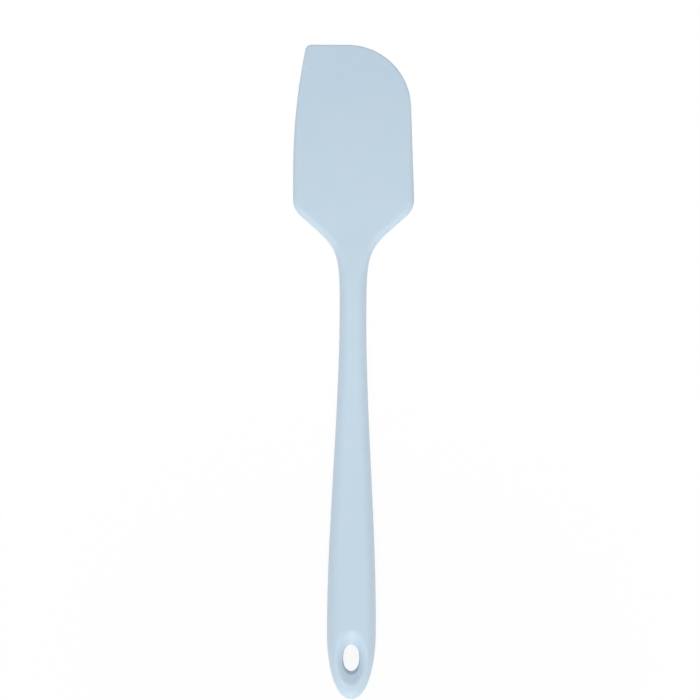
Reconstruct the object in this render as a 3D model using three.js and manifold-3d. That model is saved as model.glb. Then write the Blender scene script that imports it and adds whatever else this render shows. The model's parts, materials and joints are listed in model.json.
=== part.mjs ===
// Silicone spatula: a stiff core under a moulded silicone skin, and a blade that bends beyond the core.
// Millimetres. It is built along +Y from the handle's end, about its mid-plane, and then moved so that
// the middle of its underside is the origin.
import * as THREE from "three";
import { mergeVertices } from "three/addons/utils/BufferGeometryUtils.js";
import Module from "manifold-3d";

const wasm = await Module();
wasm.setup();

// Lengths along the tool
const HANDLE_LENGTH = 192; // handle's end to the neck, where shaft and blade meet
const BLADE_LENGTH = 88; // neck to the blade's tip
const END_ROUND = 30; // length of the rounded end of the handle
const WAIST_RUN = 26; // narrowest place of the shaft to the neck
const FLARE_REACH = 11.2; // how far past the neck the flare runs before the shoulder line is straight
const SHOULDER_RISE = 17.6; // neck to the corner of the shoulder
const HEEL_RISE = 35; // neck to the place where the straight side starts to draw in

// Widths
const GRIP_WIDTH = 20.8;
const SHAFT_WIDTH = 11.3;
const BLADE_WIDTH = 51.8;
const NOSE_INSET = 1.5; // how far the round-cornered side has drawn in where its corner starts
const TOE_INSET = 5.4; // how far the other side has drawn in at the tip

// Corners of the outline
const NOSE_RADIUS = 27.2; // the large round corner
const TOE_RADIUS = 2.3; // the small corner
const SHOULDER_RADIUS = 10;
const FLARE_TIGHTNESS = 0.95; // share of the way to the neck corner that the flare's handles reach
const END_FULLNESS = 2.2; // exponent of the rounded end: 2 is an ellipse

// Thicknesses
const END_THICKNESS = 9;
const GRIP_THICKNESS = 13;
const SHAFT_THICKNESS = 9.4;
const ROOT_THICKNESS = 5.8; // blade at its shoulders
const TIP_THICKNESS = 1.6;
const EDGE_ROLL = 0.85; // width of the rounded edge as a share of half the thickness there
const CROWN = 0.06; // share of its height that the grip's face loses towards its sides

// Hanging eye: an oval throat with a dish on each face
const EYE_AT = 17.5; // eye's centre, from the handle's end
const EYE_LENGTH = 12.3; // throat, along the tool
const EYE_DRAFT = 0.3; // how much the throat opens from its middle to each dish, on each side
const DISH_END_RIM = 5.36; // handle's end to the rim of the dish
const DISH_SIDE_RIM = 1.67; // side of the handle to the rim of the dish
const DISH_DEPTH = 2.3;
const DISH_HOLLOW = 1.35; // exponent of the dish's slope: 1 is a cone, more is a bowl
const RING_BAR = 2.55; // bar of the core on each side of the throat

// Core and skin
const SKIN_WALL = 1.8; // silicone over the core
const BOND_GAP = 0.3; // clearance between core and skin
const TANG_WIDTH = 30;
const TANG_REACH = 30; // neck to the end of the tang
const TANG_THICKNESS = 2;
const TANG_CORNER = 7;
const WINDOW_WIDTH = 6; // windows of the tang, which the silicone passes through
const WINDOW_LENGTH = 9;

// Bend of the blade
const FLEX_MARGIN = 6; // end of the tang to the line that the blade bends about
const FLEX_GAP = 0.3; // clearance of the rounded cut along that line

// Fineness of the curved faces
const SECTION_STEPS = 14;
const CURVE_STEPS = 10;
const EYE_SEGMENTS = 32;
const DISH_STEPS = 4;
const DISH_REACH = 1.5; // how far the dish's slope is carried, with its rim at 1
const ROLL_SEGMENTS = 32;
const LEAST_STEP = 0.05; // sections closer than this are one
const WELD = 1e-4; // points closer than this are one

// Places that follow from the sizes above
const overallLength = HANDLE_LENGTH + BLADE_LENGTH;
const waistAt = HANDLE_LENGTH - WAIST_RUN;
const shoulderAt = HANDLE_LENGTH + SHOULDER_RISE;
const shoulderTurn = Math.atan2((BLADE_WIDTH - SHAFT_WIDTH) / 2, SHOULDER_RISE);
const shoulderTangent = SHOULDER_RADIUS * Math.tan(shoulderTurn / 2);
const sideStart = shoulderAt + shoulderTangent;
const noseStart = overallLength - NOSE_RADIUS;
const tangEnd = HANDLE_LENGTH + TANG_REACH;
const flexAt = tangEnd + FLEX_MARGIN;
const reach = overallLength + BLADE_WIDTH; // longer than the tool, for cutting solids

const smooth = (share) => share * share * (3 - 2 * share);
const easeOut = (share) => share * (2 - share);
const mix = THREE.MathUtils.lerp;

// Half the handle's width at a distance from its end: a full round end, then a long ease to the waist.
function handleHalfWidth(y) {
  const grip = GRIP_WIDTH / 2;
  if (y < END_ROUND) {
    const left = 1 - y / END_ROUND;
    return grip * (1 - left ** END_FULLNESS) ** (1 / END_FULLNESS);
  }
  return mix(grip, SHAFT_WIDTH / 2, smooth((y - END_ROUND) / (waistAt - END_ROUND)));
}

// Half the thickness on the centre line: eased along the handle, then straight down the blade.
function halfThickness(y) {
  if (y < END_ROUND) {
    return mix(END_THICKNESS, GRIP_THICKNESS, easeOut(y / END_ROUND)) / 2;
  }
  if (y < waistAt) {
    return mix(GRIP_THICKNESS, SHAFT_THICKNESS, smooth((y - END_ROUND) / (waistAt - END_ROUND))) / 2;
  }
  if (y < shoulderAt) {
    return mix(SHAFT_THICKNESS, ROOT_THICKNESS, smooth((y - waistAt) / (shoulderAt - waistAt))) / 2;
  }
  return mix(ROOT_THICKNESS, TIP_THICKNESS, (y - shoulderAt) / (overallLength - shoulderAt)) / 2;
}

// Starts an edge of the blade on its right side: waist, flare, shoulder line and shoulder corner.
function shoulderPath() {
  const waist = new THREE.Vector2(SHAFT_WIDTH / 2, waistAt);
  const neck = new THREE.Vector2(SHAFT_WIDTH / 2, HANDLE_LENGTH);
  const shoulder = new THREE.Vector2(BLADE_WIDTH / 2, shoulderAt);
  const slope = shoulder.clone().sub(neck);
  const flareEnd = neck.clone().addScaledVector(slope, FLARE_REACH / SHOULDER_RISE);
  const waistHandle = waist.clone().lerp(neck, FLARE_TIGHTNESS);
  const flareHandle = flareEnd.clone().lerp(neck, FLARE_TIGHTNESS);
  const cornerStart = shoulder.clone().addScaledVector(slope.normalize(), -shoulderTangent);

  const path = new THREE.Path().moveTo(waist.x, waist.y);
  path.bezierCurveTo(waistHandle.x, waistHandle.y, flareHandle.x, flareHandle.y, flareEnd.x, flareEnd.y);
  path.lineTo(cornerStart.x, cornerStart.y);
  path.quadraticCurveTo(shoulder.x, shoulder.y, shoulder.x, sideStart);
  return path;
}

// The side with the large round corner, up to the middle of the tip.
function nosePath() {
  const path = shoulderPath();
  const start = path.currentPoint;
  const centre = new THREE.Vector2(BLADE_WIDTH / 2 - NOSE_INSET - NOSE_RADIUS, noseStart);
  const away = start.clone().sub(centre);
  const touch = Math.atan2(away.y, away.x) + Math.acos(Math.min(1, NOSE_RADIUS / away.length()));
  return path.absarc(centre.x, centre.y, NOSE_RADIUS, touch, Math.PI / 2, false);
}

// The side with the small corner, drawn on the right too and mirrored where it is used.
function toePath() {
  const path = shoulderPath();
  const heel = HANDLE_LENGTH + HEEL_RISE;
  const run = overallLength - heel;
  const radius = (run * run + TOE_INSET * TOE_INSET) / (2 * TOE_INSET);
  const centre = BLADE_WIDTH / 2 - radius;
  const corner = new THREE.Vector2(BLADE_WIDTH / 2 - TOE_INSET, overallLength);
  path.lineTo(BLADE_WIDTH / 2, heel);
  path.absarc(centre, heel, radius, 0, Math.asin((run - TOE_RADIUS) / radius), false);
  return path.quadraticCurveTo(corner.x, corner.y, corner.x - TOE_RADIUS, corner.y);
}

// One edge of the whole tool as points from the handle's end to the tip.
function edgePoints(path, side) {
  const points = [];
  for (let step = 0; step < 2 * CURVE_STEPS; step += 1) {
    const y = END_ROUND * (1 - Math.cos((Math.PI / 4) * (step / CURVE_STEPS)));
    points.push(new THREE.Vector2(side * handleHalfWidth(y), y));
  }
  for (let step = 0; step < 2 * CURVE_STEPS; step += 1) {
    const y = mix(END_ROUND, waistAt, step / (2 * CURVE_STEPS));
    points.push(new THREE.Vector2(side * handleHalfWidth(y), y));
  }
  for (const point of path.getPoints(2 * CURVE_STEPS)) {
    points.push(new THREE.Vector2(side * point.x, point.y));
  }
  return points;
}

const noseEdge = edgePoints(nosePath(), 1);
const toeEdge = edgePoints(toePath(), -1);
const outline = [...noseEdge, ...toeEdge.toReversed()];

// Where an edge lies at a distance from the handle's end.
function edgeAt(edge, y) {
  for (let i = 1; i < edge.length; i += 1) {
    const [low, high] = [edge[i - 1], edge[i]];
    if (y <= high.y && high.y > low.y) {
      return mix(low.x, high.x, (y - low.y) / (high.y - low.y));
    }
  }
  return edge[edge.length - 1].x;
}

// How far a point inside the outline is from it.
function depthAt(x, y) {
  const point = new THREE.Vector3(x, y, 0);
  const nearest = new THREE.Vector3();
  const line = new THREE.Line3();
  let least = Infinity;
  outline.forEach((start, i) => {
    const end = outline[(i + 1) % outline.length];
    line.set(new THREE.Vector3(start.x, start.y, 0), new THREE.Vector3(end.x, end.y, 0));
    line.closestPointToPoint(point, true, nearest);
    least = Math.min(least, nearest.distanceTo(point));
  });
  return least;
}

// The left and right ends of a section, for the outline or for a line drawn inside it.
function spanAt(y, inset) {
  const sides = [edgeAt(toeEdge, y), edgeAt(noseEdge, y)];
  if (inset === 0) return sides;
  const middle = (sides[0] + sides[1]) / 2;
  return sides.map((side) => {
    let [inner, outer] = [middle, side];
    for (let step = 0; step < 40; step += 1) {
      const half = (inner + outer) / 2;
      if (depthAt(half, y) > inset) inner = half;
      else outer = half;
    }
    return inner;
  });
}

// Half the thickness anywhere, with the rounded edge and the crown of the handle.
function riseAt(x, y, inset) {
  const height = halfThickness(y);
  const roll = EDGE_ROLL * height - inset;
  const share = THREE.MathUtils.clamp((depthAt(x, y) - inset) / roll, 0, 1);
  const [left, right] = spanAt(y, 0);
  const fade = 1 - smooth(THREE.MathUtils.clamp((y - waistAt) / (shoulderAt - waistAt), 0, 1));
  const across = right > left ? (2 * x - left - right) / (right - left) : 0;
  return (height * (1 - CROWN * fade * across * across) - inset) * Math.sqrt(1 - (1 - share) ** 2);
}

// Distances from the handle's end at which sections are taken, closer where the outline turns.
function stations(from, to) {
  const rows = [flexAt, (flexAt + noseStart) / 2, to];
  for (let step = 0; step <= CURVE_STEPS; step += 1) {
    const share = step / CURVE_STEPS;
    const turn = (Math.PI / 2) * share;
    rows.push(mix(from, END_ROUND, 1 - Math.cos(turn)));
    rows.push(mix(END_ROUND, waistAt, share));
    rows.push(mix(waistAt, HANDLE_LENGTH, share));
    rows.push(mix(HANDLE_LENGTH, sideStart, share));
    rows.push(mix(noseStart, overallLength, Math.sin(turn)));
  }
  const inRange = rows.filter((y) => y >= from && y <= to).sort((a, b) => a - b);
  return inRange.filter((y, i) => i === 0 || y - inRange[i - 1] > LEAST_STEP || y === to);
}

// A closed solid from sections across the tool, at the outline or a constant distance inside it.
function loft(inset, from, to) {
  const rows = stations(from, to).map((y) => {
    const [left, right] = spanAt(y, inset);
    return Array.from({ length: SECTION_STEPS + 1 }, (_, j) => {
      const x = (left + right - (right - left) * Math.cos((Math.PI * j) / SECTION_STEPS)) / 2;
      const edge = j === 0 || j === SECTION_STEPS;
      const z = edge || right - left < WELD ? 0 : riseAt(x, y, inset);
      return [new THREE.Vector3(x, y, z), new THREE.Vector3(x, y, -z)];
    });
  });
  const corners = [];
  const triangle = (a, b, c) => {
    const flat = a.distanceTo(b) < WELD || b.distanceTo(c) < WELD || c.distanceTo(a) < WELD;
    if (!flat) corners.push(a, b, c);
  };
  const quad = (a, b, c, d) => {
    triangle(a, b, c);
    triangle(a, c, d);
  };
  for (let j = 0; j < SECTION_STEPS; j += 1) {
    for (let i = 1; i < rows.length; i += 1) {
      const [near, far] = [rows[i - 1], rows[i]];
      quad(near[j][0], near[j + 1][0], far[j + 1][0], far[j][0]);
      quad(near[j][1], far[j][1], far[j + 1][1], near[j + 1][1]);
    }
    const [first, last] = [rows[0], rows[rows.length - 1]];
    quad(first[j][0], first[j][1], first[j + 1][1], first[j + 1][0]);
    quad(last[j][0], last[j + 1][0], last[j + 1][1], last[j][1]);
  }
  return toSolid(new THREE.BufferGeometry().setFromPoints(corners));
}

function toSolid(geometry) {
  geometry.deleteAttribute("normal");
  geometry.deleteAttribute("uv");
  const merged = mergeVertices(geometry, WELD);
  return new wasm.Manifold(
    new wasm.Mesh({
      numProp: 3,
      vertProperties: merged.attributes.position.array,
      triVerts: new Uint32Array(merged.index.array),
    }),
  );
}

function toMesh(name, solid, colour, roughness) {
  const { vertProperties, triVerts } = solid.getMesh();
  const geometry = new THREE.BufferGeometry();
  geometry.setAttribute("position", new THREE.BufferAttribute(vertProperties, 3));
  geometry.setIndex(new THREE.BufferAttribute(triVerts, 1));
  geometry.computeVertexNormals();
  const mesh = new THREE.Mesh(geometry, new THREE.MeshStandardMaterial({ color: colour, roughness }));
  mesh.name = name;
  return mesh;
}

// The space of the hanging eye, or that space grown on every side for the core to keep clear of it.
function eyeSpace(grown) {
  const side = handleHalfWidth(EYE_AT);
  const face = halfThickness(EYE_AT);
  const throat = new THREE.Vector2(side - 2 * SKIN_WALL - RING_BAR, EYE_LENGTH / 2);
  const mouth = throat.clone().addScalar(EYE_DRAFT);
  const dish = new THREE.Vector2(side - DISH_SIDE_RIM, EYE_AT - DISH_END_RIM);

  // The dish falls from beyond its rim to the mouth, and its growth is square to its slope.
  const front = Array.from({ length: DISH_STEPS + 1 }, (_, step) => {
    const share = DISH_REACH * (1 - step / DISH_STEPS);
    const fall = DISH_DEPTH * (1 - share ** DISH_HOLLOW);
    const rise = DISH_DEPTH * DISH_HOLLOW * share ** (DISH_HOLLOW - 1);
    const slope = Math.atan2(rise, dish.x - mouth.x);
    const size = mouth.clone().lerp(dish, share).addScalar(grown * Math.sin(slope));
    return { at: face - fall - grown * Math.cos(slope), size };
  });
  front[DISH_STEPS].size.addScalar(grown);
  const middle = { at: 0, size: throat.clone().addScalar(grown) };
  const back = front.toReversed().map(({ at, size }) => ({ at: -at, size }));
  const rings = [...front, middle, ...back];

  const levels = rings.length - 1;
  const geometry = new THREE.CylinderGeometry(1, 1, levels, EYE_SEGMENTS, levels);
  const position = geometry.attributes.position;
  for (let i = 0; i < position.count; i += 1) {
    const ring = rings[Math.round(levels / 2 - position.getY(i))];
    position.setXYZ(i, position.getX(i) * ring.size.x, EYE_AT - position.getZ(i) * ring.size.y, ring.at);
  }
  return toSolid(geometry);
}

// The flat tang inside the lower blade, with a window on each side of its middle.
function tang(grown) {
  const start = waistAt;
  const wide = TANG_WIDTH / 2 + grown;
  const narrow = SHAFT_WIDTH / 2 - SKIN_WALL + grown;
  const end = tangEnd + grown;
  const corner = TANG_CORNER + grown;
  const shape = new THREE.Shape().moveTo(-narrow, start).lineTo(narrow, start);
  shape.lineTo(narrow, HANDLE_LENGTH).lineTo(wide, end - 2 * corner).lineTo(wide, end - corner);
  shape.absarc(wide - corner, end - corner, corner, 0, Math.PI / 2, false);
  shape.absarc(corner - wide, end - corner, corner, Math.PI / 2, Math.PI, false);
  shape.lineTo(-wide, end - 2 * corner).lineTo(-narrow, HANDLE_LENGTH).closePath();
  for (const side of [-1, 1]) {
    const radius = WINDOW_WIDTH / 2 - grown;
    const x = (side * TANG_WIDTH) / 4;
    const straight = WINDOW_LENGTH / 2 - WINDOW_WIDTH / 2;
    const middle = tangEnd - TANG_CORNER - WINDOW_LENGTH / 4;
    const hole = new THREE.Path().absarc(x, middle + straight, radius, 0, Math.PI, false);
    hole.absarc(x, middle - straight, radius, Math.PI, 2 * Math.PI, false).closePath();
    shape.holes.push(hole);
  }
  const depth = TANG_THICKNESS + 2 * grown;
  const geometry = new THREE.ExtrudeGeometry(shape, { depth, bevelEnabled: false, curveSegments: 8 });
  return toSolid(geometry.translate(0, 0, -depth / 2));
}

// The core at its own size, or grown by the clearance to make the space for it in the skin.
function coreSpace(grown) {
  const inset = SKIN_WALL - grown;
  const beam = loft(inset, inset, HANDLE_LENGTH + grown);
  return beam.subtract(eyeSpace(inset)).add(tang(grown));
}

// Everything beyond the bend: a half space whose end is rounded about the line of the bend.
function beyondBend(grown) {
  const radius = halfThickness(flexAt) + grown;
  const roller = new THREE.CylinderGeometry(radius, radius, 2 * reach, ROLL_SEGMENTS);
  const beyond = new THREE.BoxGeometry(2 * reach, reach, 2 * reach);
  roller.rotateZ(Math.PI / 2).translate(0, flexAt, 0);
  return toSolid(beyond.translate(0, flexAt + reach / 2, 0)).add(toSolid(roller));
}

function halfSpace(side) {
  return toSolid(new THREE.BoxGeometry(2 * reach, 4 * reach, reach).translate(0, 0, (side * reach) / 2));
}

const SILICONE = 0xc3d6e2;
const NYLON = 0xd9dad6;

const moulding = loft(0, 0, overallLength);
const skin = moulding.subtract(eyeSpace(0)).subtract(coreSpace(BOND_GAP)).subtract(beyondBend(FLEX_GAP));

const spatula = new THREE.Group();
spatula.add(toMesh("core", coreSpace(0), NYLON, 0.6));
spatula.add(toMesh("front_skin", skin.intersect(halfSpace(1)), SILICONE, 0.55));
spatula.add(toMesh("back_skin", skin.intersect(halfSpace(-1)), SILICONE, 0.55));
spatula.add(toMesh("blade", moulding.intersect(beyondBend(0)), SILICONE, 0.55));
spatula.position.set(0, -overallLength / 2, GRIP_THICKNESS / 2);

const group = new THREE.Group();
group.add(spatula);

export default group;
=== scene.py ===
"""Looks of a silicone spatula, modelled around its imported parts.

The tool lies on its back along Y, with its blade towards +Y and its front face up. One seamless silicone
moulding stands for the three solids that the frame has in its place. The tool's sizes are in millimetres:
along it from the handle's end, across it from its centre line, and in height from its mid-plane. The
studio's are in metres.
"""

import json
import logging
import math
from dataclasses import dataclass, field
from enum import Enum

import bpy
import numpy as np
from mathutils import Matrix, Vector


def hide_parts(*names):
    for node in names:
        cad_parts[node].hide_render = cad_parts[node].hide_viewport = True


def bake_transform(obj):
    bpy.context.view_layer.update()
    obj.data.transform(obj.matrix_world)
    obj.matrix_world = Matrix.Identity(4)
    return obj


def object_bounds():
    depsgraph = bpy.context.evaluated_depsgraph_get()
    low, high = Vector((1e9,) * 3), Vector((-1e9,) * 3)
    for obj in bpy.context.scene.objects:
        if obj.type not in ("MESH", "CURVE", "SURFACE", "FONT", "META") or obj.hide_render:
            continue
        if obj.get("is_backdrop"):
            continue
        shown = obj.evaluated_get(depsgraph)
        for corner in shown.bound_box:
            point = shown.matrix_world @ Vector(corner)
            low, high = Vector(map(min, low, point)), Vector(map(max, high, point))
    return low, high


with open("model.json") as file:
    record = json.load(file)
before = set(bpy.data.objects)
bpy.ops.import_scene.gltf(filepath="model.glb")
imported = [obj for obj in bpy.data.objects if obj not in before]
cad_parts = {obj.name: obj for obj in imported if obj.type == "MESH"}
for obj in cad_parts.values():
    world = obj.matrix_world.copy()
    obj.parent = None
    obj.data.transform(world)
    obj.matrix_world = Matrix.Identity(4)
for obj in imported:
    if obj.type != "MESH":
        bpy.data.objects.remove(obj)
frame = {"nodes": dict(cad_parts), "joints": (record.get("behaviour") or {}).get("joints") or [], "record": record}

log = logging.getLogger("spatula")

METRES = 0.001  # a millimetre in the frame's unit
TINY = 1e-9

Values = float | np.ndarray  # one number, or an array of them


class Side(Enum):
    """A side of the blade, with the direction of X that it lies in."""

    TOE = -1  # the side with the small corner
    NOSE = 1  # the side with the large round corner


class End(Enum):
    """An end of the tool, with the direction of Y that it lies in."""

    HANDLE = -1
    TIP = 1


class Grain(Enum):
    """How coarse the surface of a moulding is, as grains per metre."""

    SATIN = 3800.0
    COARSE = 1500.0


def place_of(name: str, listed: list[dict]) -> np.ndarray:
    """Reads where a mount or a joint of the record lies in the frame."""
    return next(np.array(entry["pos_m"]) for entry in listed if entry["name"] == name)


def mix(start: Values, end: Values, share: Values) -> Values:
    """Goes from start to end as share goes from 0 to 1."""
    return start + (end - start) * share


def progress(value: Values, start: float, end: float) -> Values:
    """Says which share of the way from start to end a value has gone, from 0 to 1."""
    return np.clip((value - start) / (end - start), 0.0, 1.0)


def smooth(share: Values) -> Values:
    """Eases a share so that it starts and ends without a slope."""
    return share * share * (3.0 - 2.0 * share)


def ease_out(share: Values) -> Values:
    """Eases a share so that it only ends without a slope."""
    return share * (2.0 - share)


def soft_least(first: np.ndarray, second: np.ndarray, width: float) -> np.ndarray:
    """Takes the lesser of two heights, rounded over where they cross.

    Args:
        first: One set of heights.
        second: The other set.
        width: Difference in height below which the two run into each other.

    Returns:
        The joined heights.
    """
    share = np.clip(0.5 + 0.5 * (second - first) / width, 0.0, 1.0)
    return mix(second, first, share) - width * share * (1.0 - share)


def curve(controls: list[np.ndarray], steps: int) -> np.ndarray:
    """Samples a Bezier curve.

    Args:
        controls: Its control points, three for a quadratic curve and four for a cubic one.
        steps: How many points to take.

    Returns:
        The points, one a row.
    """
    share = np.linspace(0.0, 1.0, steps)[:, None]
    layer = [np.broadcast_to(point, (steps, 2)) for point in controls]
    while len(layer) > 1:
        layer = [mix(near, far, share) for near, far in zip(layer, layer[1:])]
    return layer[0]


def ring_grid(loops: list[np.ndarray], steps: int) -> np.ndarray:
    """Lays rings between closed loops, each loop to the next.

    Args:
        loops: The loops from the outer one inwards, each with as many points, one a row.
        steps: How many rings to lay from loop to loop.

    Returns:
        The rings' points, as rows of columns.
    """
    share = np.linspace(0.0, 1.0, steps + 1)[1:, None, None]
    rings = [mix(outer, inner, share) for outer, inner in zip(loops, loops[1:])]
    return np.concatenate([loops[0][None], *rings])


def patch_grid(bottom: np.ndarray, top: np.ndarray, left: np.ndarray, right: np.ndarray) -> np.ndarray:
    """Fills the space between four joined lines.

    Args:
        bottom: Points of the first row, from left to right.
        top: Points of the last row.
        left: Points of the first column, from bottom to top.
        right: Points of the last column.

    Returns:
        The points, as rows of columns.
    """
    across = np.linspace(0.0, 1.0, len(bottom))[None, :, None]
    along = np.linspace(0.0, 1.0, len(left))[:, None, None]
    ruled = mix(bottom, top, along) + mix(left[:, None], right[:, None], across)
    corners = mix(mix(bottom[0], bottom[-1], across), mix(top[0], top[-1], across), along)
    return ruled - corners


def arc(centre: np.ndarray, radius: float, first: float, last: float, steps: int) -> np.ndarray:
    """Samples an arc of a circle.

    Args:
        centre: Centre of the circle.
        radius: Its radius.
        first: Angle that the arc starts at.
        last: Angle that it ends at.
        steps: How many points to take.

    Returns:
        The points, one a row.
    """
    angle = np.linspace(first, last, steps)
    return centre + radius * np.column_stack([np.cos(angle), np.sin(angle)])


@dataclass
class Outline:
    """The tool's outline, seen from the front."""

    handle_length: float = 192.0
    blade_length: float = 88.0
    end_round: float = 30.0  # length of the handle's round end
    waist_run: float = 26.0  # from the waist, where the flare starts, to the neck
    flare_reach: float = 11.2  # from the neck to where the flare meets the shoulder line
    shoulder_rise: float = 17.6  # from the neck to the corner of the shoulder
    heel_rise: float = 35.0  # from the neck to where the toe side starts to draw in
    grip_width: float = 20.8
    shaft_width: float = 11.3
    blade_width: float = 51.8
    nose_inset: float = 1.5  # how far the nose side has drawn in at its round corner
    toe_inset: float = 5.4  # how far the toe side has drawn in at the tip
    nose_radius: float = 27.2
    toe_radius: float = 2.3
    shoulder_radius: float = 10.0
    flare_tightness: float = 0.95  # 0 for a straight flare, 1 for the tightest
    end_fullness: float = 2.2  # 2 for an elliptical end, more for a squarer one
    turn_weight: float = 12.0  # length that a turn of one radian counts for when steps are spaced
    steps: int = 40
    length: float = field(init=False)
    waist_at: float = field(init=False)
    shoulder_at: float = field(init=False)
    nose_at: float = field(init=False)
    corner_run: float = field(init=False)
    side_at: float = field(init=False)
    edges: dict[Side, np.ndarray] = field(init=False)

    def __post_init__(self) -> None:
        """Works out the places that follow from the sizes, and both edges."""
        self.length = self.handle_length + self.blade_length
        self.waist_at = self.handle_length - self.waist_run
        self.shoulder_at = self.handle_length + self.shoulder_rise
        self.nose_at = self.length - self.nose_radius
        slope = math.atan2((self.blade_width - self.shaft_width) / 2, self.shoulder_rise)
        self.corner_run = self.shoulder_radius * math.tan(slope / 2)
        self.side_at = self.shoulder_at + self.corner_run
        self.edges = {side: self.edge(side) for side in Side}

    def handle_half_width(self, along: np.ndarray) -> np.ndarray:
        """Measures the handle from its centre line: a round end, then a long ease to the waist.

        Args:
            along: Distances from the handle's end.

        Returns:
            Half the handle's width at each.
        """
        left = 1.0 - progress(along, 0.0, self.end_round)
        end = (1.0 - left**self.end_fullness) ** (1.0 / self.end_fullness)
        ease = smooth(progress(along, self.end_round, self.waist_at))
        return end * mix(self.grip_width, self.shaft_width, ease) / 2

    def shoulder(self) -> np.ndarray:
        """Draws the flare out of the waist, the sloping shoulder line and the shoulder's corner.

        Returns:
            Points on the right-hand side.
        """
        waist = np.array([self.shaft_width / 2, self.waist_at])
        neck = np.array([self.shaft_width / 2, self.handle_length])
        corner = np.array([self.blade_width / 2, self.shoulder_at])
        slope = corner - neck
        flare_end = neck + slope * self.flare_reach / self.shoulder_rise
        handles = [mix(place, neck, self.flare_tightness) for place in (waist, flare_end)]
        flare = curve([waist, *handles, flare_end], self.steps)
        corner_start = corner - slope / np.linalg.norm(slope) * self.corner_run
        side_start = np.array([self.blade_width / 2, self.side_at])
        return np.vstack([flare, curve([corner_start, corner, side_start], self.steps)])

    def nose(self) -> np.ndarray:
        """Draws the large round corner, up to where it meets the tip.

        Returns:
            Points on the right-hand side.
        """
        centre = np.array([self.blade_width / 2 - self.nose_inset - self.nose_radius, self.nose_at])
        away = np.array([self.blade_width / 2, self.side_at]) - centre
        reach = min(1.0, self.nose_radius / np.linalg.norm(away))
        touch = math.atan2(away[1], away[0]) + math.acos(reach)
        return arc(centre, self.nose_radius, touch, math.pi / 2, 2 * self.steps)

    def toe(self) -> np.ndarray:
        """Draws the side that draws in slowly to the small corner, as if on the right-hand side.

        Returns:
            Points up to where the corner meets the tip.
        """
        heel = self.handle_length + self.heel_rise
        run = self.length - heel
        radius = (run**2 + self.toe_inset**2) / (2 * self.toe_inset)
        centre = np.array([self.blade_width / 2 - radius, heel])
        side = arc(centre, radius, 0.0, math.asin((run - self.toe_radius) / radius), self.steps)
        corner = np.array([self.blade_width / 2 - self.toe_inset, self.length])
        return np.vstack([side, curve([side[-1], corner, corner - (self.toe_radius, 0.0)], self.steps)])

    def edge(self, side: Side) -> np.ndarray:
        """Draws one edge of the whole tool.

        Args:
            side: The side that it lies on.

        Returns:
            Points from the handle's end to the tip.
        """
        end = self.end_round * (1.0 - np.cos(np.linspace(0.0, math.pi / 2, self.steps)))
        along = np.concatenate([end, np.linspace(self.end_round, self.waist_at, self.steps)])
        handle = np.column_stack([self.handle_half_width(along), along])
        blade = self.nose() if side is Side.NOSE else self.toe()
        return np.vstack([handle, self.shoulder(), blade]) * (side.value, 1.0)

    def across(self, side: Side, along: np.ndarray) -> np.ndarray:
        """Says where an edge lies at some distances from the handle's end."""
        edge = self.edges[side]
        return np.interp(along, edge[:, 1], edge[:, 0])

    def around(self, end: End, at: float, steps: int) -> np.ndarray:
        """Follows the outline round an end of the tool, from its nose side to its toe side.

        Args:
            end: The end to go round.
            at: Distance from the handle's end at which the run starts and stops.
            steps: How many steps to take, which are shorter where the outline turns.

        Returns:
            The points, one a row.
        """
        toe, nose = (
            np.vstack([(self.across(side, at), at), edge[(edge[:, 1] - at) * end.value > 0.0][:: end.value]])
            for side, edge in self.edges.items()
        )
        path = np.vstack([nose, toe[::-1]])
        path = path[np.append(True, np.linalg.norm(np.diff(path, axis=0), axis=1) > TINY)]
        run = np.diff(path, axis=0)
        heading = np.unwrap(np.arctan2(run[:, 1], run[:, 0]))
        turn = np.abs(np.diff(heading, prepend=heading[0]))
        gone = np.append(0.0, np.cumsum(np.hypot(*run.T) + self.turn_weight * turn))
        stops = np.linspace(0.0, gone[-1], steps + 1)
        return np.column_stack([np.interp(stops, gone, values) for values in path.T])

    def depth(self, points: np.ndarray) -> np.ndarray:
        """Measures how far points inside the outline are from it.

        Args:
            points: Places across and along the tool, one a row.

        Returns:
            The least distance of each to the outline.
        """
        loop = np.vstack([self.edges[Side.NOSE], self.edges[Side.TOE][::-1]])
        least = np.full(len(points), np.inf)
        for start, run in zip(loop, np.roll(loop, -1, axis=0) - loop):
            share = np.clip((points - start) @ run / max(run @ run, TINY), 0.0, 1.0)
            gap = points - start - share[:, None] * run
            least = np.minimum(least, np.hypot(gap[:, 0], gap[:, 1]))
        return least


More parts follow.
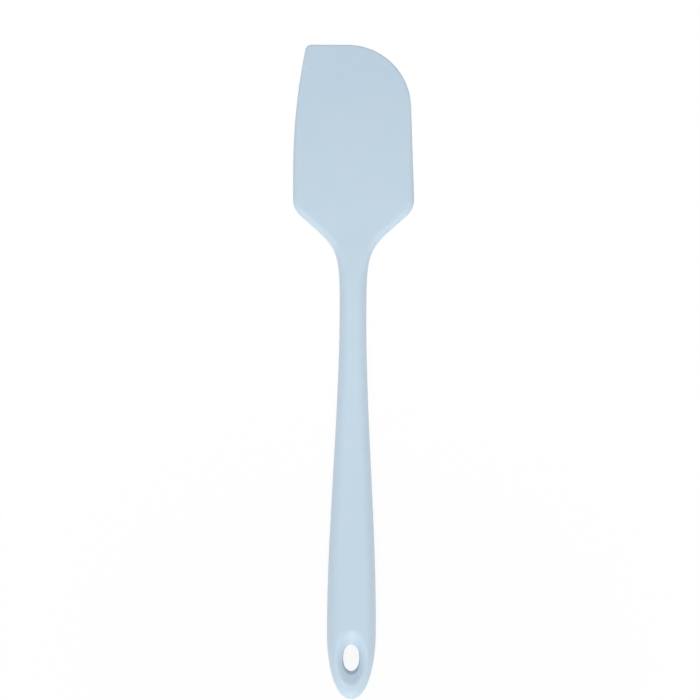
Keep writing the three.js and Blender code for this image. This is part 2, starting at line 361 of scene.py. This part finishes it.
@dataclass
class HangingEye:
    """The oval eye through the handle's end, with a dish around it on each face."""

    at: float
    throat_width: float = 7.06
    throat_length: float = 12.3
    draft: float = 0.3  # how far the throat's wall leans out on its way up to the mouth
    rim_width: float = 13.3
    rim_length: float = 23.4
    rim_shift: float = 1.3  # how far the dish's centre lies beyond the eye's, towards the blade
    rim_softness: float = 0.2  # difference in height over which the dish's rim is rounded
    dish_depth: float = 2.3
    dish_hollow: float = 0.9  # 1 for a straight slope from the rim to the eye, more for a hollow one
    end_hollow: float = 1.35  # the same towards the handle's end
    mouth_round: float = 0.3
    round_steps: int = 4
    centre: np.ndarray = field(init=False)
    rim_centre: np.ndarray = field(init=False)
    throat: np.ndarray = field(init=False)
    mouth: np.ndarray = field(init=False)
    rim: np.ndarray = field(init=False)

    def __post_init__(self) -> None:
        """Works out the half sizes of the throat, its mouth and the dish's rim, and their centres."""
        self.centre = np.array([0.0, self.at])
        self.rim_centre = self.centre + (0.0, self.rim_shift)
        self.throat = np.array([self.throat_width, self.throat_length]) / 2
        self.mouth = self.throat + self.draft + self.mouth_round
        self.rim = np.array([self.rim_width, self.rim_length]) / 2

    def from_rim(self, points: np.ndarray) -> np.ndarray:
        """Measures points from the middle of the dish, as shares of the way to its rim."""
        return np.linalg.norm((points - self.rim_centre) / self.rim, axis=1)

    def on_rim(self, points: np.ndarray) -> np.ndarray:
        """Moves points straight out or in to the dish's rim."""
        share = np.maximum(self.from_rim(points), TINY)[:, None]
        return self.rim_centre + (points - self.rim_centre) / share

    def sink(self, points: np.ndarray, face: np.ndarray, rim: np.ndarray, floor: float) -> np.ndarray:
        """Lowers a face into the dish.

        Args:
            points: Places across and along the tool, one a row.
            face: Height of the face at each.
            rim: Height of the face at the nearest part of the dish's rim.
            floor: Height of the eye's mouth.

        Returns:
            The lowered heights.
        """
        away = (points - self.centre) / self.mouth
        from_mouth = np.linalg.norm(away, axis=1)
        left = np.maximum(from_mouth - self.from_rim(points), TINY)
        share = np.maximum(from_mouth - 1.0, 0.0) / left
        endward = np.maximum(-away[:, 1] / np.maximum(from_mouth, TINY), 0.0) ** 2
        hollow = mix(self.dish_hollow, self.end_hollow, endward)
        return soft_least(face, mix(floor, rim, share**hollow), self.rim_softness)


class MouldedSurface:
    """The fine relief and uneven tone that a mould leaves on every piece made in it."""

    NAME = "moulded_surface"
    SOCKETS = {
        "INPUT": {"Grain": "NodeSocketFloat", "Cloud": "NodeSocketFloat"},
        "OUTPUT": {"Tone": "NodeSocketFloat", "Relief": "NodeSocketFloat"},
    }
    CLOUD_SHARE = 0.35  # how much of the relief the wide, slow swell has
    CLOUD_DETAIL = 4.0
    CLOUD_ROUGHNESS = 0.55
    FINE_DETAIL = 3.0

    @classmethod
    def group(cls) -> bpy.types.NodeTree:
        """Builds the shader group once.

        Returns:
            The group: Tone is a slow mask from 0 to 1, and Relief a height from 0 to 1.
        """
        if cls.NAME in bpy.data.node_groups:
            return bpy.data.node_groups[cls.NAME]
        tree = bpy.data.node_groups.new(cls.NAME, "ShaderNodeTree")
        for direction, sockets in cls.SOCKETS.items():
            for name, kind in sockets.items():
                tree.interface.new_socket(name, in_out=direction, socket_type=kind)
        nodes, links = tree.nodes, tree.links
        inputs = nodes.new("NodeGroupInput")
        outputs = nodes.new("NodeGroupOutput")
        place = nodes.new("ShaderNodeTexCoord")
        fine = nodes.new("ShaderNodeTexNoise")
        fine.inputs["Detail"].default_value = cls.FINE_DETAIL
        cloud = nodes.new("ShaderNodeTexNoise")
        cloud.inputs["Detail"].default_value = cls.CLOUD_DETAIL
        cloud.inputs["Roughness"].default_value = cls.CLOUD_ROUGHNESS
        for texture, scale in ((fine, "Grain"), (cloud, "Cloud")):
            links.new(place.outputs["Object"], texture.inputs["Vector"])
            links.new(inputs.outputs[scale], texture.inputs["Scale"])
        join = nodes.new("ShaderNodeMix")
        join.inputs["Factor"].default_value = cls.CLOUD_SHARE
        links.new(fine.outputs["Fac"], join.inputs["A"])
        links.new(cloud.outputs["Fac"], join.inputs["B"])
        links.new(join.outputs["Result"], outputs.inputs["Relief"])
        links.new(cloud.outputs["Fac"], outputs.inputs["Tone"])
        return tree


@dataclass(frozen=True)
class MouldedFinish:
    """A matte moulded material with fine relief, whose colour and gloss drift a little."""

    EVEN_BLEED = (1.0, 1.0, 1.0)  # red, green and blue light spread equally far under the surface

    name: str
    light: tuple[float, float, float, float]
    deep: tuple[float, float, float, float]
    rough_low: float
    rough_high: float
    grain: Grain
    cloud: float  # slow swells of the surface per metre
    relief: float  # full height of the surface's relief
    refraction: float
    subsurface: float = 0.0
    bleed: float = 0.0  # how far light spreads under the surface
    sheen: float = 0.0

    def material(self) -> bpy.types.Material:
        """Builds the material.

        Returns:
            A node material with the shared surface group in it.
        """
        made = bpy.data.materials.new(self.name)
        made.use_nodes = True
        nodes, links = made.node_tree.nodes, made.node_tree.links
        shader = nodes["Principled BSDF"]
        shader.inputs["IOR"].default_value = self.refraction
        shader.inputs["Subsurface Weight"].default_value = self.subsurface
        shader.inputs["Subsurface Scale"].default_value = self.bleed * METRES
        shader.inputs["Subsurface Radius"].default_value = self.EVEN_BLEED
        shader.inputs["Sheen Weight"].default_value = self.sheen

        surface = nodes.new("ShaderNodeGroup")
        surface.node_tree = MouldedSurface.group()
        surface.inputs["Grain"].default_value = self.grain.value
        surface.inputs["Cloud"].default_value = self.cloud

        colour = nodes.new("ShaderNodeMix")
        colour.data_type = "RGBA"
        colour.inputs["A"].default_value = self.light
        colour.inputs["B"].default_value = self.deep
        links.new(surface.outputs["Tone"], colour.inputs["Factor"])
        links.new(colour.outputs["Result"], shader.inputs["Base Color"])

        gloss = nodes.new("ShaderNodeMapRange")
        gloss.inputs["To Min"].default_value = self.rough_low
        gloss.inputs["To Max"].default_value = self.rough_high
        links.new(surface.outputs["Tone"], gloss.inputs["Value"])
        links.new(gloss.outputs["Result"], shader.inputs["Roughness"])

        bump = nodes.new("ShaderNodeBump")
        bump.inputs["Distance"].default_value = self.relief * METRES
        links.new(surface.outputs["Relief"], bump.inputs["Height"])
        links.new(bump.outputs["Normal"], shader.inputs["Normal"])
        return made


PALE_BLUE_SILICONE = MouldedFinish(
    name="pale_blue_silicone",
    light=(0.578, 0.704, 0.806, 1.0),
    deep=(0.551, 0.680, 0.786, 1.0),
    rough_low=0.40,
    rough_high=0.50,
    grain=Grain.SATIN,
    cloud=85.0,
    relief=0.012,
    refraction=1.41,
    subsurface=0.4,
    bleed=2.0,
    sheen=0.08,
)
NATURAL_NYLON = MouldedFinish(
    name="natural_glass_filled_nylon",
    light=(0.690, 0.700, 0.672, 1.0),
    deep=(0.630, 0.640, 0.605, 1.0),
    rough_low=0.52,
    rough_high=0.70,
    grain=Grain.COARSE,
    cloud=140.0,
    relief=0.03,
    refraction=1.53,
)


def open_edges(mesh: bpy.types.Mesh) -> np.ndarray:
    """Says which edges of a mesh have a face on one side only.

    Args:
        mesh: The mesh, in object mode.

    Returns:
        One truth value for each edge.
    """
    used = np.empty(len(mesh.loops), dtype=np.int32)
    mesh.loops.foreach_get("edge_index", used)
    return np.bincount(used, minlength=len(mesh.edges)) == 1


def places(mesh: bpy.types.Mesh) -> np.ndarray:
    """Reads the vertices of a mesh.

    Args:
        mesh: The mesh, in object mode.

    Returns:
        Their places, one a row.
    """
    flat = np.empty(3 * len(mesh.vertices))
    mesh.vertices.foreach_get("co", flat)
    return flat.reshape(-1, 3)


def edge_ends(mesh: bpy.types.Mesh) -> np.ndarray:
    """Reads the edges of a mesh.

    Args:
        mesh: The mesh, in object mode.

    Returns:
        The two vertices of each, one edge a row.
    """
    flat = np.empty(2 * len(mesh.edges), dtype=np.int32)
    mesh.edges.foreach_get("vertices", flat)
    return flat.reshape(-1, 2)


def edit_edges(piece: bpy.types.Object, chosen: np.ndarray) -> None:
    """Goes into edit mode with the chosen edges selected, and nothing else.

    Args:
        piece: The object, in object mode.
        chosen: One truth value for each edge.
    """
    mesh = piece.data
    ends = np.zeros(len(mesh.vertices), dtype=bool)
    ends[edge_ends(mesh)[chosen].ravel()] = True
    mesh.polygons.foreach_set("select", np.zeros(len(mesh.polygons), dtype=bool))
    mesh.edges.foreach_set("select", chosen)
    mesh.vertices.foreach_set("select", ends)
    bpy.context.tool_settings.mesh_select_mode = (False, True, False)
    bpy.ops.object.mode_set(mode="EDIT")


def lay_sheet(points: np.ndarray) -> bpy.types.Object:
    """Adds a flat grid and moves its corners to places in plan.

    Args:
        points: Places across and along the tool, as rows of columns.

    Returns:
        The sheet, on the mid-plane.
    """
    rows, columns = points.shape[:2]
    bpy.ops.mesh.primitive_grid_add(x_subdivisions=columns - 1, y_subdivisions=rows - 1)
    sheet = bpy.context.object
    flat = np.zeros((rows * columns, 3))
    flat[:, :2] = points.reshape(-1, 2)
    sheet.data.vertices.foreach_set("co", flat.ravel())
    sheet.data.update()
    return sheet


@dataclass
class SiliconeMoulding:
    """The seamless silicone body of the tool: grip with its eye, shaft and blade."""

    outline: Outline
    eye: HangingEye
    end_thickness: float = 9.0
    grip_thickness: float = 13.0
    shaft_thickness: float = 9.4
    root_thickness: float = 5.8
    tip_thickness: float = 1.6
    edge_roll: float = 0.85  # width of the rounded edges, as a share of half the thickness
    crown: float = 0.06  # how much the handle's faces fall to its edges, as a share of half the thickness
    flash_height: float = 0.07
    flash_width: float = 0.2
    bend_before: float = 9.0  # from the start of the bend to the hinge
    bend_after: float = 11.0  # from the hinge to the end of the bend
    end_run: float = 36.0  # from the handle's end to the first straight row
    tip_run: float = 40.0  # from the last straight row to the tip
    handle_rows: int = 50
    neck_rows: int = 64
    blade_rows: int = 14
    columns: int = 60
    edge_columns: int = 10  # columns on each side that run on round the ends
    rings: int = 16  # from the outer columns to the dish's rim, and from there to the eye
    turn_steps: int = 140  # round each end
    weld: float = 0.002  # difference below which two places count as one
    finish: MouldedFinish = PALE_BLUE_SILICONE

    def half_thickness(self, along: np.ndarray) -> np.ndarray:
        """Measures the tool from its mid-plane, on its centre line.

        Args:
            along: Distances from the handle's end.

        Returns:
            Half the thickness at each.
        """
        line = self.outline
        end = ease_out(progress(along, 0.0, line.end_round))
        shaft = smooth(progress(along, line.end_round, line.waist_at))
        root = smooth(progress(along, line.waist_at, line.shoulder_at))
        blade = progress(along, line.shoulder_at, line.length)
        stretches = [along < line.end_round, along < line.waist_at, along < line.shoulder_at]
        thicknesses = [
            mix(self.end_thickness, self.grip_thickness, end),
            mix(self.grip_thickness, self.shaft_thickness, shaft),
            mix(self.shaft_thickness, self.root_thickness, root),
        ]
        return np.select(stretches, thicknesses, mix(self.root_thickness, self.tip_thickness, blade)) / 2

    def mouth_height(self) -> float:
        """Measures the mouth of the eye from the mid-plane."""
        return float(self.half_thickness(np.array(self.eye.at))) - self.eye.dish_depth

    def face(self, points: np.ndarray) -> np.ndarray:
        """Shapes the front face without its dish: rounded edges and a crowned handle.

        Args:
            points: Places across and along the tool, one a row.

        Returns:
            Height of the face above the mid-plane at each.
        """
        line = self.outline
        across, along = points.T
        full = self.half_thickness(along)
        toe, nose = (line.across(side, along) for side in Side)
        share = (2.0 * across - toe - nose) / np.maximum(nose - toe, TINY)
        fade = 1.0 - smooth(progress(along, line.waist_at, line.shoulder_at))
        rolled = np.clip(line.depth(points) / (self.edge_roll * full), 0.0, 1.0)
        return full * (1.0 - self.crown * fade * share**2) * np.sqrt(1.0 - (1.0 - rolled) ** 2)

    def height(self, points: np.ndarray) -> np.ndarray:
        """Measures the front face, with the dish in it, from the mid-plane."""
        rim = self.face(self.eye.on_rim(points))
        return self.eye.sink(points, self.face(points), rim, self.mouth_height())

    def rows(self) -> np.ndarray:
        """Spaces the straight rows between the two rounded ends, closer at the neck and shoulders.

        Returns:
            Distances from the handle's end.
        """
        line = self.outline
        stretches = [
            np.linspace(self.end_run, line.waist_at, self.handle_rows),
            np.linspace(line.waist_at, line.side_at, self.neck_rows),
            np.linspace(line.side_at, line.length - self.tip_run, self.blade_rows),
        ]
        return np.unique(np.concatenate(stretches))

    def row(self, along: float) -> np.ndarray:
        """Places the points of one row across the tool, closer towards its edges.

        Args:
            along: Distance of the row from the handle's end.

        Returns:
            The points from the toe side to the nose side, one a row.
        """
        share = (1.0 - np.cos(np.linspace(0.0, math.pi, self.columns + 1))) / 2
        toe, nose = (self.outline.across(side, along) for side in Side)
        return np.column_stack([mix(toe, nose, share), np.full_like(share, along)])

    def band(self, end: End, at: float) -> np.ndarray:
        """Runs the outer columns on round one end of the tool.

        Args:
            end: The end to go round.
            at: Distance of the row that the columns run on from.

        Returns:
            Their points from the nose side to the toe side, as rows from the outline inwards.
        """
        row = self.row(at)
        outer = self.outline.around(end, at, self.turn_steps)
        centre = (row[0] + row[-1]) / 2
        inward = row[: self.edge_columns + 1, 0] - row[0, 0]
        reach = np.array([row[-1, 0] - centre[0], np.abs(outer[:, 1] - at).max()])
        scale = 1.0 - inward[:, None] / reach
        return centre + (outer - centre) * scale[:, None]

    def inner_row(self, along: float) -> np.ndarray:
        """Places the points of one row between the two bands of outer columns."""
        return self.row(along)[self.edge_columns : self.columns + 1 - self.edge_columns]

    def end_grids(self) -> list[np.ndarray]:
        """Lays out the handle's end: a band along its outline, and rings from there to the eye.

        Returns:
            The points of both, each as rows of columns.
        """
        eye = self.eye
        band = self.band(End.HANDLE, self.end_run)
        row = self.inner_row(self.end_run)
        corner = (row[-1] - eye.centre) / eye.mouth
        lean = math.atan2(corner[1], corner[0])
        across = np.linspace(math.pi - lean, lean, len(row))
        around = np.linspace(lean, -math.pi - lean, self.turn_steps + 1)
        turn = np.append(across, around[1:])
        circle = np.column_stack([np.cos(turn), np.sin(turn)])
        outer = np.vstack([row, band[-1, 1:]])
        loops = [outer, eye.rim_centre + eye.rim * circle, eye.centre + eye.mouth * circle]
        return [grid[:, ::-1] for grid in (band, ring_grid(loops, self.rings))]

    def tip_grids(self) -> list[np.ndarray]:
        """Lays out the blade's tip: a band along its outline, and a grid inside it.

        Returns:
            The points of both, each as rows of columns.
        """
        start = self.outline.length - self.tip_run
        band = self.band(End.TIP, start)
        bottom, inner = self.inner_row(start), band[-1]
        rise = (len(inner) - len(bottom)) // 2
        right, top, left = inner[: rise + 1], inner[rise : len(inner) - rise], inner[-rise - 1 :]
        return [band, patch_grid(bottom, top[::-1], left[::-1], right)]

    def front_sheet(self) -> bpy.types.Object:
        """Lays the whole front face flat, with only the eye left open.

        Returns:
            The sheet, with its faces up.
        """
        bpy.ops.object.select_all(action="DESELECT")
        middle = np.stack([self.row(along) for along in self.rows()])
        sheets = [lay_sheet(grid) for grid in (middle, *self.end_grids(), *self.tip_grids())]
        for sheet in sheets:
            sheet.select_set(True)
        bpy.ops.object.join()
        bpy.ops.object.mode_set(mode="EDIT")
        bpy.ops.mesh.select_all(action="SELECT")
        bpy.ops.mesh.remove_doubles(threshold=self.weld)
        bpy.ops.object.mode_set(mode="OBJECT")
        return bpy.context.object

    def rims(self, mesh: bpy.types.Mesh) -> tuple[np.ndarray, np.ndarray]:
        """Tells apart the open edges along the outline and those round the mouth of the eye.

        Args:
            mesh: The mesh of the front face.

        Returns:
            One truth value for each edge, for the outline and then for the mouth.
        """
        place = places(mesh)[:, :2] - self.eye.centre
        at_mouth = np.abs(np.linalg.norm(place / self.eye.mouth, axis=1) - 1.0) < self.weld
        mouth = at_mouth[edge_ends(mesh)].all(axis=1)
        bare = open_edges(mesh)
        return bare & ~mouth, bare & mouth

    def raise_face(self, sheet: bpy.types.Object) -> None:
        """Lifts the flat sheet to the front face, and its border to half the width of the flash.

        Args:
            sheet: The flat sheet.
        """
        mesh = sheet.data
        points = places(mesh)
        outline, _ = self.rims(mesh)
        border = np.unique(edge_ends(mesh)[outline])
        points[:, 2] = self.height(points[:, :2])
        points[border, 2] = 0.0
        points[:, 2] = points[:, 2].clip(min=self.flash_width / 2)
        mesh.vertices.foreach_set("co", points.ravel())
        mesh.update()

    def raise_flash(self, shell: bpy.types.Object) -> None:
        """Extrudes the outer border to the fine line of flash along the mould's parting plane.

        Args:
            shell: The front shell, whose outer border is half a flash line above the mid-plane.
        """
        mesh = shell.data
        outline, _ = self.rims(mesh)
        known = places(mesh)
        normals = np.empty(3 * len(mesh.vertices))
        mesh.vertices.foreach_get("normal", normals)
        outward = normals.reshape(-1, 3) * (1.0, 1.0, 0.0)
        outward /= np.maximum(np.linalg.norm(outward, axis=1, keepdims=True), TINY)
        ring = np.unique(edge_ends(mesh)[outline])
        edit_edges(shell, outline)
        bpy.ops.mesh.extrude_region_move()
        bpy.ops.object.mode_set(mode="OBJECT")
        moved = places(shell.data)
        for index in range(len(known), len(moved)):
            source = ring[np.argmin(np.linalg.norm(known[ring] - moved[index], axis=1))]
            moved[index] = known[source] * (1.0, 1.0, 0.0) + outward[source] * self.flash_height
        shell.data.vertices.foreach_set("co", moved.ravel())
        shell.data.update()

    def sink_throat(self, shell: bpy.types.Object) -> None:
        """Extrudes the mouth of the eye round its rim and down the throat to the mid-plane.

        Args:
            shell: The front shell, still open at the eye.
        """
        eye = self.eye
        height = self.mouth_height()
        turns = np.linspace(0.0, math.pi / 2, eye.round_steps + 1)[1:]
        profile = [
            (eye.mouth - eye.mouth_round * math.sin(turn), height - eye.mouth_round * (1.0 - math.cos(turn)))
            for turn in turns
        ]
        profile += [
            (eye.throat, self.flash_width),
            (eye.throat, self.flash_width / 2),
            (eye.throat - self.flash_height, 0.0),
        ]
        size = eye.mouth
        _, mouth = self.rims(shell.data)
        edit_edges(shell, mouth)
        for next_size, next_height in profile:
            drop = (0.0, 0.0, next_height - height)
            bpy.ops.mesh.extrude_region_move(TRANSFORM_OT_translate={"value": drop})
            bpy.ops.transform.resize(value=(*(next_size / size), 1.0), center_override=(*eye.centre, 0.0))
            size, height = next_size, next_height
        bpy.ops.object.mode_set(mode="OBJECT")

    def close(self, shell: bpy.types.Object) -> None:
        """Mirrors the front shell to the back and merges the two along the parting plane.

        Args:
            shell: The front shell, open only along that plane.
        """
        mirror = shell.modifiers.new("back_half", "MIRROR")
        mirror.use_axis = (False, False, True)
        mirror.merge_threshold = self.weld
        bpy.ops.object.modifier_apply(modifier=mirror.name)

    def build(self, origin: np.ndarray) -> bpy.types.Object:
        """Models the moulding and puts it in the frame.

        Args:
            origin: Where the handle's end lies in the frame, on the mid-plane.

        Returns:
            The finished mesh object.
        """
        shell = self.front_sheet()
        self.raise_face(shell)
        self.raise_flash(shell)
        self.sink_throat(shell)
        self.close(shell)
        bpy.ops.object.mode_set(mode="EDIT")
        bpy.ops.mesh.select_all(action="SELECT")
        bpy.ops.mesh.remove_doubles(threshold=self.weld)
        bpy.ops.mesh.normals_make_consistent(inside=False)
        bpy.ops.transform.resize(value=(METRES,) * 3, center_override=(0.0, 0.0, 0.0))
        bpy.ops.transform.translate(value=tuple(origin))
        bpy.ops.object.mode_set(mode="OBJECT")
        bpy.ops.object.shade_smooth()
        shell.name = shell.data.name = "silicone_moulding"
        return shell

    def dress(self, shell: bpy.types.Object, hinge: np.ndarray) -> None:
        """Gives the moulding its finish, and hides the solids that it stands for.

        Args:
            shell: The finished mesh object.
            hinge: A point on the line that the blade bends about; not used.
        """
        shell.data.materials.clear()
        shell.data.materials.append(self.finish.material())
        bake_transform(shell)
        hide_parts("front_skin", "back_skin", "blade")


@dataclass
class StiffCore:
    """The stiff core inside the moulding, which keeps the shape that it has in the frame."""

    node: str = "core"
    finish: MouldedFinish = NATURAL_NYLON

    def dress(self) -> bpy.types.Object:
        """Gives the core its finish.

        Returns:
            The core's object.
        """
        core = frame["nodes"][self.node]
        core.data.materials.clear()
        core.data.materials.append(self.finish.material())
        return core


def combine(
    tree: bpy.types.NodeTree, operation: str, first: bpy.types.NodeSocket, second: bpy.types.NodeSocket
) -> bpy.types.NodeSocket:
    """Works out one value from two.

    Args:
        tree: Nodes to add the step to.
        operation: What is done with the two, as a Math node names it.
        first: Socket with the first value.
        second: Socket with the second value.

    Returns:
        The socket with the result.
    """
    step = tree.nodes.new("ShaderNodeMath")
    step.operation = operation
    tree.links.new(first, step.inputs[0])
    tree.links.new(second, step.inputs[1])
    return step.outputs["Value"]


def seen_rays(tree: bpy.types.NodeTree) -> bpy.types.NodeSocket:
    """Sets apart the rays that show what lies behind the tool from those that light it.

    Args:
        tree: Nodes of the worktop's material or of the world.

    Returns:
        A socket with 1 for rays that come to the camera, straight, reflected or refracted, and 0 for others.
    """
    path = tree.nodes.new("ShaderNodeLightPath")
    seen = path.outputs["Is Camera Ray"]
    for ray in ("Is Glossy Ray", "Is Transmission Ray"):
        seen = combine(tree, "MAXIMUM", seen, path.outputs[ray])
    return seen


@dataclass(frozen=True)
class Softbox:
    """A square lamp that faces the middle of the tool."""

    name: str
    at: tuple[float, float, float]
    width: float
    power: float

    def hang(self) -> bpy.types.Object:
        """Adds the lamp to the scene.

        Returns:
            The lamp's object.
        """
        bpy.ops.object.light_add(type="AREA", location=self.at)
        lamp = bpy.context.object
        lamp.name = self.name
        lamp.data.size = self.width
        lamp.data.energy = self.power
        lamp.rotation_euler = (-lamp.location).to_track_quat("-Z", "Y").to_euler()
        return lamp


@dataclass
class Studio:
    """A white worktop that the blade reaches past, soft light, and a camera straight above the tool."""

    floor_size: float = 6.0
    floor_drop: float = 0.0002
    floor_tone: float = 0.95
    floor_roughness: float = 0.9
    floor_glow: float = 0.92  # how much of the worktop's look is plain white, where its shadow is strongest
    fade_from: float = 0.5  # share of the way to the edge from which the shadow fades
    overhang: float = 0.05  # from the edge to the line that the blade bends about
    sky: float = 0.54  # strength of the light from above
    below: float = 0.80  # strength of the light from below
    horizon: float = 0.05  # half the height of the soft step between the light from above and from below
    lamps: tuple[Softbox, ...] = (
        Softbox(name="key_softbox", at=(-0.05, -1.50, 1.20), width=0.9, power=18.0),
        Softbox(name="top_softbox", at=(0.0, 0.04, 0.26), width=0.16, power=0.12),
    )
    lens: float = 70.0  # in millimetres, as the sensor's width is
    sensor: float = 36.0
    near_limit: float = 0.01
    camera_at: tuple[float, float, float] = (-0.0012, 0.14935, 0.5831)  # from the handle's end
    camera_roll: float = 0.297  # degrees

    def paper(self, origin: np.ndarray, reach: float) -> bpy.types.Material:
        """Makes the worktop's white paper, which shows a faint shadow around the handle.

        Args:
            origin: Where the handle's end lies in the frame, on the mid-plane.
            reach: How far from there the shadow has faded to plain white.

        Returns:
            The node material.
        """
        made = bpy.data.materials.new("white_paper")
        made.use_nodes = True
        tree = made.node_tree
        nodes, links = tree.nodes, tree.links
        shader = nodes["Principled BSDF"]
        shader.inputs["Base Color"].default_value = (self.floor_tone, self.floor_tone, self.floor_tone, 1.0)
        shader.inputs["Roughness"].default_value = self.floor_roughness
        shader.inputs["Specular IOR Level"].default_value = 0.0

        place = nodes.new("ShaderNodeTexCoord")
        away = nodes.new("ShaderNodeVectorMath")
        away.operation = "DISTANCE"
        away.inputs[1].default_value = origin
        links.new(place.outputs["Object"], away.inputs[0])
        fade = nodes.new("ShaderNodeMapRange")
        fade.inputs["From Min"].default_value = reach * self.fade_from
        fade.inputs["From Max"].default_value = reach
        fade.inputs["To Min"].default_value = self.floor_glow
        links.new(away.outputs["Value"], fade.inputs["Value"])

        glow = nodes.new("ShaderNodeEmission")
        blend = nodes.new("ShaderNodeMixShader")
        links.new(combine(tree, "MULTIPLY", seen_rays(tree), fade.outputs["Result"]), blend.inputs["Fac"])
        links.new(shader.outputs["BSDF"], blend.inputs[1])
        links.new(glow.outputs["Emission"], blend.inputs[2])
        links.new(blend.outputs["Shader"], nodes["Material Output"].inputs["Surface"])
        return made

    def floor(self, origin: np.ndarray, hinge: np.ndarray) -> bpy.types.Object:
        """Lays the worktop, which ends under the shaft so that the blade has room to bend down.

        Args:
            origin: Where the handle's end lies in the frame, on the mid-plane.
            hinge: A point on the line that the blade bends about.

        Returns:
            The worktop's object.
        """
        edge = hinge[1] - self.overhang
        middle = (0.0, edge - self.floor_size / 2, -self.floor_drop)
        bpy.ops.object.select_all(action="DESELECT")
        bpy.ops.mesh.primitive_plane_add(size=self.floor_size, location=middle)
        bpy.ops.object.transform_apply()
        floor = bpy.context.object
        floor.name = "floor"
        floor.data.materials.append(self.paper(origin, edge - origin[1]))
        floor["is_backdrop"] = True
        return floor

    def backdrop(self) -> bpy.types.World:
        """Makes the world: white where it is seen, with one light from above and one from below.

        Returns:
            The node world.
        """
        world = bpy.data.worlds.new("studio")
        world.use_nodes = True
        tree = world.node_tree
        nodes, links = tree.nodes, tree.links
        background = nodes["Background"]
        background.inputs["Color"].default_value = (1.0, 1.0, 1.0, 1.0)
        way = nodes.new("ShaderNodeTexCoord")
        rise = nodes.new("ShaderNodeSeparateXYZ")
        links.new(way.outputs["Generated"], rise.inputs["Vector"])
        light = nodes.new("ShaderNodeMapRange")
        light.inputs["From Min"].default_value = -self.horizon
        light.inputs["From Max"].default_value = self.horizon
        light.inputs["To Min"].default_value = self.below
        light.inputs["To Max"].default_value = self.sky
        links.new(rise.outputs["Z"], light.inputs["Value"])
        strength = combine(tree, "MAXIMUM", seen_rays(tree), light.outputs["Result"])
        links.new(strength, background.inputs["Strength"])
        return world

    def light(self) -> None:
        """Lights the tool softly from all round, and more from the handle's end and from overhead."""
        bpy.context.scene.world = self.backdrop()
        for lamp in self.lamps:
            lamp.hang()

    def camera(self, origin: np.ndarray) -> None:
        """Hangs the camera over the tool.

        Args:
            origin: Where the handle's end lies in the frame, on the mid-plane.
        """
        place = origin + np.array(self.camera_at)
        roll = math.radians(self.camera_roll)
        bpy.ops.object.camera_add(location=tuple(place), rotation=(0.0, 0.0, roll))
        camera = bpy.context.object
        camera.data.lens = self.lens
        camera.data.sensor_width = self.sensor
        camera.data.clip_start = self.near_limit
        bpy.context.scene.camera = camera
        bpy.context.scene.view_settings.view_transform = "Standard"


def main() -> None:
    """Builds and dresses the tool, then the studio round it, and notes the sizes."""
    logging.basicConfig(level=logging.INFO, format="%(name)s: %(message)s")
    solid_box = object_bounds()
    low, high = (np.array(corner) for corner in solid_box)
    origin = np.array([0.0, low[1], (low[2] + high[2]) / 2])

    core = StiffCore().dress()
    log.info("%s: %d faces", core.name, len(core.data.polygons))

    eye_place = place_of("hanging_eye", frame["record"]["mounts"])
    moulding = SiliconeMoulding(outline=Outline(), eye=HangingEye(at=(eye_place - origin)[1] / METRES))
    shell = moulding.build(origin)
    hinge = place_of("blade_flex", frame["joints"])
    moulding.dress(shell, hinge)
    log.info("%s: %d faces", shell.name, len(shell.data.polygons))

    studio = Studio()
    studio.floor(origin, hinge)
    studio.light()
    studio.camera(origin)


if __name__ == "__main__":
    main()
